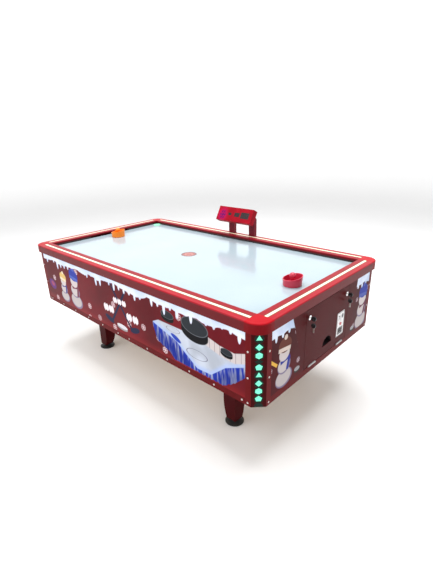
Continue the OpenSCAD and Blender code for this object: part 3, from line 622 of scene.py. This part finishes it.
def winter_print(settings, name, motif):
    """One length of a side sheet: snow above, snow crystals on dark red, and its motif."""
    m = Paint(name)
    side = m.y.math("SIGN")
    across = m.x * side * -1.0
    depth = SKIRT_Z - m.z
    where = m.join(across, depth)
    snow, edge = settings.snow[:], settings.soft
    mottled = m.noise(3.0, 6.0).rise(0.3, 0.75)
    tone = m.mix(mottled, shade(settings.ground, 0.72), shade(settings.ground, 1.28))
    low = depth.rise(0.30, 0.36)
    tone = m.mix(low * 0.35, tone, (0.33, 0.02, 0.02))
    tone = m.mix(crystals(m, where, 0.155, 3.1), tone, (0.80, 0.62, 0.66))
    tone = motif(m, tone, where, across, depth, settings)
    # Snow along the top
    line = drips(m, across, 7.3)
    cap = (line - depth).rise(-edge, edge)
    cool = m.noise(7.0, 3.0, where).rise(0.35, 0.65)
    white = m.mix(cool * 0.7, snow, (0.50, 0.60, 0.84))
    white = m.mix((line - depth).fall(0.0, 0.008) * 0.5, white, (0.62, 0.45, 0.58))
    tone = m.mix(cap, tone, white)
    return m.finish(color=tone, rough=m.noise(12.0, 5.0) * 0.14 + 0.24,
                    specular=0.05, normal=m.bump(m.noise(150.0, 1.0), 0.008))


def end_print(paint, settings):
    """End panels: door enamel with a winter decal at each side, cut on a slant."""
    m = Paint("end_paint")
    across = m.y * m.x.math("SIGN")
    depth = SKIRT_Z - m.z
    where = m.join(across, depth)
    cloud = m.noise(3.5, 4.0).rise(0.35, 0.75)
    tone = m.mix(cloud, shade(paint.door, 0.90), shade(paint.door, 1.10))
    on_face = depth.rise(0.009, 0.0095) * abs(m.x).rise(FACE_X - 0.001, FACE_X - 0.0003)
    left = (-0.341 + (depth - 0.010) * 0.355 - across).rise(-0.001, 0.001)
    right = (across - 0.344 + (depth - 0.010) * 0.135).rise(-0.001, 0.001)
    decal = left.most(right) * on_face
    ground = m.mix(m.noise(4.0, 6.0).rise(0.3, 0.75), shade(settings.ground, 0.42),
                   shade(settings.ground, 0.75))
    ground = m.mix(crystals(m, where, 0.11, 9.7), ground, (0.55, 0.42, 0.48))
    art = hat_and_snowballs(m, ground, where, (-0.402, 0.135), 0.080,
                            ((0.12, 0.03, 0.02), (0.62, 0.52, 0.46), (0.025, 0.035, 0.26)))
    art = hat_and_snowballs(m, art, where, (0.440, 0.130), 0.088,
                            ((0.02, 0.035, 0.30), (0.06, 0.09, 0.36), (0.12, 0.02, 0.05)))
    art = m.mix(m.block(where, (-0.492, 0.180), (0.008, 0.040), -50.0, 0.1), art,
                (0.70, 0.40, 0.06))
    for centre in ((-0.285, 0.305), (0.330, 0.320)):
        art = puck_drawing(m, art, where, centre, (0.024, 0.012), (0.30, 0.30, 0.32),
                           (0.03, 0.03, 0.03), (0.5, 0.5, 0.5))
    line = drips(m, across, 2.6) + 0.018
    white = m.mix(m.noise(7.0, 3.0, where).rise(0.35, 0.65), settings.snow[:],
                  (0.50, 0.60, 0.80))
    art = m.mix((line - depth).rise(-settings.soft, settings.soft), art, white)
    tone = m.mix(decal, tone, art)
    scuff = m.noise(26.0, 6.0, rough=0.7).rise(0.62, 0.80)
    return m.finish(color=m.mix(scuff * 0.03, tone, (0.30, 0.16, 0.15)),
                    rough=scuff * 0.10 + m.noise(160.0, 2.0) * 0.06 + 0.34,
                    specular=0.05, normal=m.bump(m.noise(150.0, 1.0), 0.010))


def column_enamel(tint):
    """Corner columns: plain enamel flanges, the slanting face painted darker as painted shade, and
    painted mint lamp light round the lamp windows.
    """
    m = Paint("column_paint")
    ax, ay = abs(m.x), abs(m.y)
    # Zero on the slanting face, negative towards the middle of the table
    slant = (ax - FACE_X) + (ay + FACE_Y) + CHAMFER
    on_slant = slant.rise(-0.0010, -0.0004)
    along = (ax - FACE_X - ay - FACE_Y) * math.sqrt(0.5)
    drop = SKIRT_Z - 0.030 - m.z
    shifted = drop - drop.rise(0.1099, 0.1101) * 0.018
    near = shifted.math("PINGPONG", 0.021)
    odd = (shifted / 0.042 + 0.5).math("FLOOR") * 0.042
    gap = abs(shifted - odd)
    reach = (gap * gap + along * along).math("SQRT")
    # Painted light: a dim mint ring round each lamp window stands in for the lamps' light on the
    # panel.
    rim = reach.fall(0.0205, 0.0225) * on_slant * near.fall(0.03, 0.04)
    base = m.mix(m.noise(4.0, 4.0).rise(0.35, 0.75), shade(tint, 0.9), shade(tint, 1.1))
    # Painted shade: the slanting face is painted darker than the flanges.
    tone = m.mix(on_slant, base, shade(tint, 0.38))
    tone = m.mix(rim * 0.85, tone, (0.006, 0.030, 0.024))
    return m.finish(color=tone, rough=m.noise(120.0, 2.0) * 0.08 + 0.32,
                    specular=0.06, normal=m.bump(m.noise(150.0, 1.0), 0.010))


def score_enamel(tint):
    """Scoreboard: gloss crimson with a violet crystal printed at the left."""
    m = Paint("score_paint")
    low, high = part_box("score_housing")
    rise = (m.z - low.z) / (high.z - low.z)
    u = m.x
    v = (rise - 0.52) * 0.105
    r = ((u + 0.113) * (u + 0.113) + v * v).math("SQRT")
    fold = v.math("ARCTAN2", u + 0.113).math("PINGPONG", math.pi / 6)
    side = r * fold.math("SINE")
    out = r * fold.math("COSINE")
    spine = side.fall(0.0022, 0.0034) * r.fall(0.027, 0.029)
    twig = abs(out - 0.015 - side).fall(0.0018, 0.0032) * side.fall(0.010, 0.012)
    front = m.y.fall(high.y - 0.010, high.y - 0.004)
    cloud = m.noise(14.0, 4.0).rise(0.3, 0.7)
    tone = m.mix(cloud, shade(tint, 0.86), shade(tint, 1.16))
    tone = m.mix(r.fall(0.020, 0.060) * 0.4, tone, (0.50, 0.006, 0.12))
    tone = m.mix(spine.most(twig) * front, tone, (0.085, 0.004, 0.10))
    return m.finish(color=tone, rough=m.noise(60.0, 3.0) * 0.12 + 0.38,
                    specular=0.06, normal=m.bump(m.noise(150.0, 1.0), 0.010))


def coin_plate_steel():
    """Brushed plate with a dark printed coin and arrow, and a thin dark border."""
    m = Paint("plate_steel")
    low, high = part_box("coin_plate")
    cy, cz = (low.y + high.y) / 2, (low.z + high.z) / 2
    half_w, half_h = (high.y - low.y) / 2, (high.z - low.z) / 2
    where = m.join(m.y - cy, m.z - cz)
    lined = m.node("Mapping", {"vector_type": "POINT"},
                   {"Vector": m.place, "Scale": (1.0, 40.0, 1.0)})
    lines = m.noise(40.0, 3.0, lined)
    tone = m.mix(lines.rise(0.3, 0.7), (0.60, 0.59, 0.60), (0.80, 0.79, 0.80))
    edge = 1.0 - m.block(where, (0.0, 0.0), (half_w - 0.004, half_h - 0.004), 0.0, 0.006)
    line = edge * m.block(where, (0.0, 0.0), (half_w - 0.002, half_h - 0.002), 0.0, 0.004)
    mark = m.oval(where, (0.020, 0.044), (0.011, 0.014), 0.0, 0.1).most(
        m.block(where, (-0.020, 0.036), (0.010, 0.003), 55.0, 0.1)).most(
        m.block(where, (-0.018, 0.050), (0.010, 0.003), -35.0, 0.1))
    frame_line = m.block(where, (0.0, -0.042), (0.029, 0.021), 0.0, 0.02)
    front = m.x.rise(high.x - 0.0008, high.x - 0.0003)
    tone = m.mix(line.most(mark).most(frame_line) * front, tone, (0.03, 0.025, 0.03))
    return m.finish(color=tone, metal=0.35, rough=lines * 0.12 + 0.28,
                    normal=m.bump(lines, 0.05))


def lamp_cover(settings):
    """Mint lamp bars: brighter down the middle, with faint chips behind the cover."""
    m = Paint("mint_lamp")
    chips = m.z.math("PINGPONG", 0.010).fall(0.002, 0.010)
    glow = m.mix(chips, shade(settings.mint, 0.70), settings.mint[:])
    return m.finish(color=(0.12, 0.45, 0.32), rough=0.35, glow=glow,
                    glow_power=settings.power * 1.15)


def key_finish():
    """Black moulded bows; nickel where the blade and the ring are thin."""
    m = Paint("key_finish")
    low_y, high_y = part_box("key_left")[0].y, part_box("key_left")[1].y
    middle = (low_y + high_y) / 2
    other = (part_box("key_right")[0].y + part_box("key_right")[1].y) / 2
    off = abs(m.y - middle).least(abs(m.y - other))
    blade = off.fall(0.00115, 0.00135)
    behind = m.x.fall(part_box("key_left")[1].x - 0.0250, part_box("key_left")[1].x - 0.0245)
    low = m.z.fall(SKIRT_Z - 0.1085, SKIRT_Z - 0.1080)
    nickel = blade * behind.most(low)
    marks = m.noise(70.0, 5.0).rise(0.55, 0.75)
    tone = m.mix(marks * 0.2, (0.012, 0.012, 0.014), (0.08, 0.08, 0.085))
    tone = m.mix(nickel, tone, (0.62, 0.60, 0.55))
    return m.finish(color=tone, metal=nickel, rough=marks * 0.15 + 0.28,
                    normal=m.bump(m.noise(500.0, 2.0), 0.04))


MOTIFS = (("hats", hats_motif), ("sticks", sticks_motif), ("ice", ice_motif))


# ---- Operators ----
class Piece:
    bl_options = {"REGISTER", "UNDO"}


class TABLE_OT_rails(Piece, bpy.types.Operator):
    """Rails, corner caps, cushions and the light strips let into the rails"""
    bl_idname = "table.rails"
    bl_label = "Rails and light strips"

    def execute(self, context):
        paint, light = context.scene.table_paint, context.scene.table_light
        coat_on(["side_rail_front", "side_rail_back", "end_rail_left", "end_rail_right"],
                rail_lacquer(paint.rail[:]))
        # The caps keep 0.42 of their colour below the rail tops: painted shade on their sides.
        coat_on(["corner_caps"], enamel("cap_paint", paint.cap[:], 0.30, 0.03, 0.05, 0.42))
        coat_on(["cushions"], moulded("cushion_rubber", (0.016, 0.003, 0.004), 0.55))
        coat_on(["light_diffusers"], strip_cover(light))
        return {"FINISHED"}


class TABLE_OT_playfield(Piece, bpy.types.Operator):
    """Playfield with its air holes and centre spot, and the plenum under it"""
    bl_idname = "table.playfield"
    bl_label = "Playfield and plenum"

    def execute(self, context):
        coat_on(["playfield"], playfield_laminate())
        ply = boards("plywood", (0.55, 0.38, 0.22))
        coat_on(["floor_board", "plenum_floor", "plenum_walls", "plenum_ribs",
                 "side_boards"], ply)
        coat_on(["goal_chute_left", "goal_chute_right"],
                metal("zinc_sheet", (0.55, 0.56, 0.58), 0.34))
        return {"FINISHED"}


class TABLE_OT_cabinet(Piece, bpy.types.Operator):
    """Cabinet frame, columns, end panels, door and the printed side sheets"""
    bl_idname = "table.cabinet"
    bl_label = "Cabinet and prints"

    def execute(self, context):
        paint, art = context.scene.table_paint, context.scene.table_print
        materials = {name: winter_print(art, "print_" + name, motif)
                     for name, motif in MOTIFS}
        for node, side in (("print_front", 1.0), ("print_back", -1.0)):
            low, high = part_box(node)
            cuts = (low.x, *SHEET_CUTS, high.x)
            for k, (name, motif) in enumerate(MOTIFS):
                ends = sorted((cuts[k] * side, cuts[k + 1] * side))
                sheet = build(f"{node}_{name}", [sheet_part(
                    (ends[0], low.y, low.z), (ends[1], high.y, high.z), 0.0004)],
                    materials[name], "table", False)
                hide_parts(node)
        coat_on(["end_panel_left", "end_panel_right"], end_print(paint, art))
        coat_on(["service_door"], enamel("door_paint", paint.door[:], 0.36, 0.05, 0.01))
        coat_on(["corner_columns"], column_enamel(paint.column[:]))
        coat_on(["base_rails"], enamel("frame_paint", paint.frame[:], 0.34, 0.05, 0.01))
        coat_on(["corner_posts", "cross_beams"],
                enamel("frame_grey", (0.16, 0.165, 0.17), 0.45, 0.06, 0.1))
        coat_on(["column_lamps"], lamp_cover(context.scene.table_light))
        coat_on(["outlet_cup_left", "outlet_cup_right"],
                moulded("cup_plastic", (0.014, 0.010, 0.011), 0.40))
        return {"FINISHED"}


class TABLE_OT_legs(Piece, bpy.types.Operator):
    """Legs and levelling feet"""
    bl_idname = "table.legs"
    bl_label = "Legs and feet"

    def execute(self, context):
        coat_on(["legs"], enamel("leg_paint", context.scene.table_paint.leg[:], 0.30, 0.05))
        coat_on(["foot_front_left", "foot_front_right", "foot_back_left",
                 "foot_back_right"], moulded("foot_rubber", (0.010, 0.012, 0.012), 0.45))
        return {"FINISHED"}


class TABLE_OT_door_fittings(Piece, bpy.types.Operator):
    """Hinges, locks, keys and the coin acceptor with its cash box"""
    bl_idname = "table.door_fittings"
    bl_label = "Door fittings"

    def execute(self, context):
        coat_on(["hinge_frame_leaves", "hinge_door_leaves"],
                metal("hinge_steel", (0.50, 0.50, 0.50), 0.30))
        coat_on(["lock_barrels", "lock_core_left", "lock_core_right"],
                metal("lock_chrome", (0.78, 0.78, 0.80), 0.10))
        coat_on(["coin_plate"], coin_plate_steel())
        coat_on(["coin_mech", "cash_box", "control_box"],
                enamel("box_grey", (0.22, 0.23, 0.24), 0.45, 0.08, 0.0))
        coat_on(["reject_button", "rocker_switch"],
                moulded("switch_red", (0.45, 0.010, 0.016), 0.30, coat=0.3))
        coat_on(["return_flap"], moulded("flap_plastic", (0.016, 0.016, 0.018), 0.35))
        coat_on(["key_left", "key_right", "spare_key_left", "spare_key_right"],
                key_finish())
        return {"FINISHED"}


class TABLE_OT_machinery(Piece, bpy.types.Operator):
    """Blower, motor and the mains power box"""
    bl_idname = "table.machinery"
    bl_label = "Blower and power"

    def execute(self, context):
        coat_on(["blower_housing"], enamel("blower_paint", (0.05, 0.055, 0.06), 0.4, 0.08))
        coat_on(["blower_wheel"], metal("wheel_zinc", (0.52, 0.53, 0.55), 0.32))
        coat_on(["blower_motor"], enamel("motor_paint", (0.03, 0.06, 0.065), 0.42, 0.14))
        coat_on(["power_box", "mains_inlet"],
                moulded("box_plastic", (0.014, 0.014, 0.016), 0.42))
        return {"FINISHED"}


class TABLE_OT_scoreboard(Piece, bpy.types.Operator):
    """Scoreboard housing, posts and dark windows"""
    bl_idname = "table.scoreboard"
    bl_label = "Scoreboard"

    def execute(self, context):
        coat_on(["score_housing"], score_enamel(context.scene.table_paint.score[:]))
        coat_on(["score_posts"], enamel("post_paint", (0.17, 0.010, 0.020), 0.36, 0.06, 0.2))
        coat_on(["score_displays"], moulded("display_lens", (0.010, 0.002, 0.004), 0.18,
                                            0.01, 0.5, 0.04))
        return {"FINISHED"}


class TABLE_OT_loose_pieces(Piece, bpy.types.Operator):
    """Mallets and the puck"""
    bl_idname = "table.loose_pieces"
    bl_label = "Mallets and puck"

    def execute(self, context):
        coat_on(["mallet_red"], moulded("mallet_crimson", (0.50, 0.012, 0.045), 0.30,
                                        0.03, 0.3, 0.06))
        coat_on(["mallet_orange"], moulded("mallet_orange", (0.84, 0.21, 0.0), 0.34,
                                           0.03, 0.05, 0.02))
        coat_on(["puck"], moulded("puck_mint", (0.30, 0.88, 0.55), 0.30, 0.03, 0.2, 0.06))
        return {"FINISHED"}


class TABLE_OT_screws(Piece, bpy.types.Operator):
    """Domed screw heads with a cross recess, one on each screw of the panels"""
    bl_idname = "table.screws"
    bl_label = "Panel screws"

    def execute(self, context):
        steel = metal("screw_steel", (0.62, 0.58, 0.56), 0.25)
        heads = []
        for low, high in separate_places("panel_screws", SCREW_REACH):
            middle, size = (low + high) / 2, high - low
            axis = int(np.argmin(size))
            normal = np.eye(3)[axis] * np.sign(middle[axis])
            base = middle - normal * size[axis] / 2
            heads.append(placed(screw_head(size.max() / 2, size[axis]), base, normal))
        made = build("screw_heads", heads, steel, "table")
        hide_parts("panel_screws")
        return {"FINISHED"}


class TABLE_OT_stage(Piece, bpy.types.Operator):
    """Pale floor, soft studio light and the camera"""
    bl_idname = "table.stage"
    bl_label = "Stage"

    def execute(self, context):
        scene, stage = context.scene, context.scene.table_stage
        m = Paint("stage_floor")
        pale = m.noise(1.5, 3.0)
        # Painted light: the floor glows more from 5 m to 16 m out, so the far floor and backdrop
        # look lit though they are no lamp.
        far = (m.x * m.x + m.y * m.y).math("SQRT").rise(5.0, 16.0)
        material = m.finish(color=m.mix(pale, (0.90, 0.90, 0.90), (0.93, 0.93, 0.93)),
                            rough=0.9, glow=m.mix(far, (0.0, 0.0, 0.0), (0.5, 0.5, 0.5)),
                            glow_power=1.0, normal=m.bump(pale, 0.01))
        # A floor that curves up far behind: height grows with the square past a radius
        r = np.concatenate([np.linspace(0.02, 9.0, 12), np.linspace(9.8, 26.0, 22)])
        a = np.arange(72) * (2 * math.pi / 72)
        up = np.where(r > 9.0, (r - 9.0) ** 2 * 0.045, 0.0)
        ring = np.stack([np.outer(r, np.cos(a)), np.outer(r, np.sin(a)),
                         np.repeat(up[:, None], 72, 1)], -1)
        points, faces = grid_mesh(ring)
        mesh = bpy.data.meshes.new("stage_floor")
        mesh.from_pydata(points.tolist(), [], [f[::-1] for f in faces.tolist()]
                         + [list(range(72))])
        mesh.materials.append(material)
        mesh.shade_smooth()
        floor = bpy.data.objects.new("stage_floor", mesh)
        scene.collection.objects.link(floor)

        world = bpy.data.worlds.new("studio")
        world.use_nodes = True
        back = world.node_tree.nodes["Background"]
        back.inputs["Color"].default_value = (1.0, 1.0, 1.0, 1.0)
        back.inputs["Strength"].default_value = stage.sky
        scene.world = world
        for name, spot, aim, size, power in (
                ("key", (-1.5, -4.0, 5.0), (0, 0, 0.6), 4.0, stage.key),
                ("top", (0.0, 0.6, 5.0), (0, 0, 0.8), 4.5, stage.key * 2.2)):
            lamp = bpy.data.lights.new(name, "AREA")
            lamp.energy = power
            lamp.size = size
            made = bpy.data.objects.new(name, lamp)
            made.location = spot
            made.rotation_euler = (Vector(aim) - Vector(spot)).to_track_quat(
                "-Z", "Y").to_euler()
            scene.collection.objects.link(made)

        lens = bpy.data.cameras.new("camera")
        lens.sensor_width = 36.0
        lens.lens = CAMERA_LENS
        camera = bpy.data.objects.new("camera", lens)
        azimuth, elevation, roll = (math.radians(v) for v in CAMERA_TURN)
        forward = Vector((-math.sin(azimuth) * math.cos(elevation),
                          math.cos(azimuth) * math.cos(elevation), -math.sin(elevation)))
        turn = forward.to_track_quat("-Z", "Y").to_matrix().to_4x4()
        camera.matrix_world = turn @ Matrix.Rotation(roll, 4, "Z")
        camera.location = CAMERA_SPOT
        scene.collection.objects.link(camera)
        scene.camera = camera
        scene.view_settings.view_transform = "Standard"
        return {"FINISHED"}


class TABLE_PT_panel(bpy.types.Panel):
    """Lists the table's pieces"""
    bl_idname = "TABLE_PT_panel"
    bl_label = "Air hockey table"
    bl_space_type = "VIEW_3D"
    bl_region_type = "UI"
    bl_category = "Table"

    def draw(self, context):
        for operator in OPERATORS:
            self.layout.operator(operator.bl_idname)
        for group in ("table_paint", "table_print", "table_light", "table_stage"):
            settings = getattr(context.scene, group)
            for key in settings.__annotations__:
                self.layout.prop(settings, key)


SETTINGS = {"table_paint": PaintSettings, "table_print": PrintSettings,
            "table_light": LightSettings, "table_stage": StageSettings}
OPERATORS = (TABLE_OT_rails, TABLE_OT_playfield, TABLE_OT_cabinet, TABLE_OT_legs,
             TABLE_OT_door_fittings, TABLE_OT_machinery, TABLE_OT_scoreboard,
             TABLE_OT_loose_pieces, TABLE_OT_screws, TABLE_OT_stage)


def register():
    for group in (*SETTINGS.values(), *OPERATORS, TABLE_PT_panel):
        bpy.utils.register_class(group)
    for name, group in SETTINGS.items():
        setattr(bpy.types.Scene, name, PointerProperty(type=group))


def unregister():
    for name in SETTINGS:
        delattr(bpy.types.Scene, name)
    for group in (TABLE_PT_panel, *OPERATORS[::-1], *SETTINGS.values()):
        bpy.utils.unregister_class(group)


def main():
    register()
    for operator in OPERATORS:
        family, name = operator.bl_idname.split(".")
        getattr(getattr(bpy.ops, family), name)()


if __name__ == "__main__":
    main()
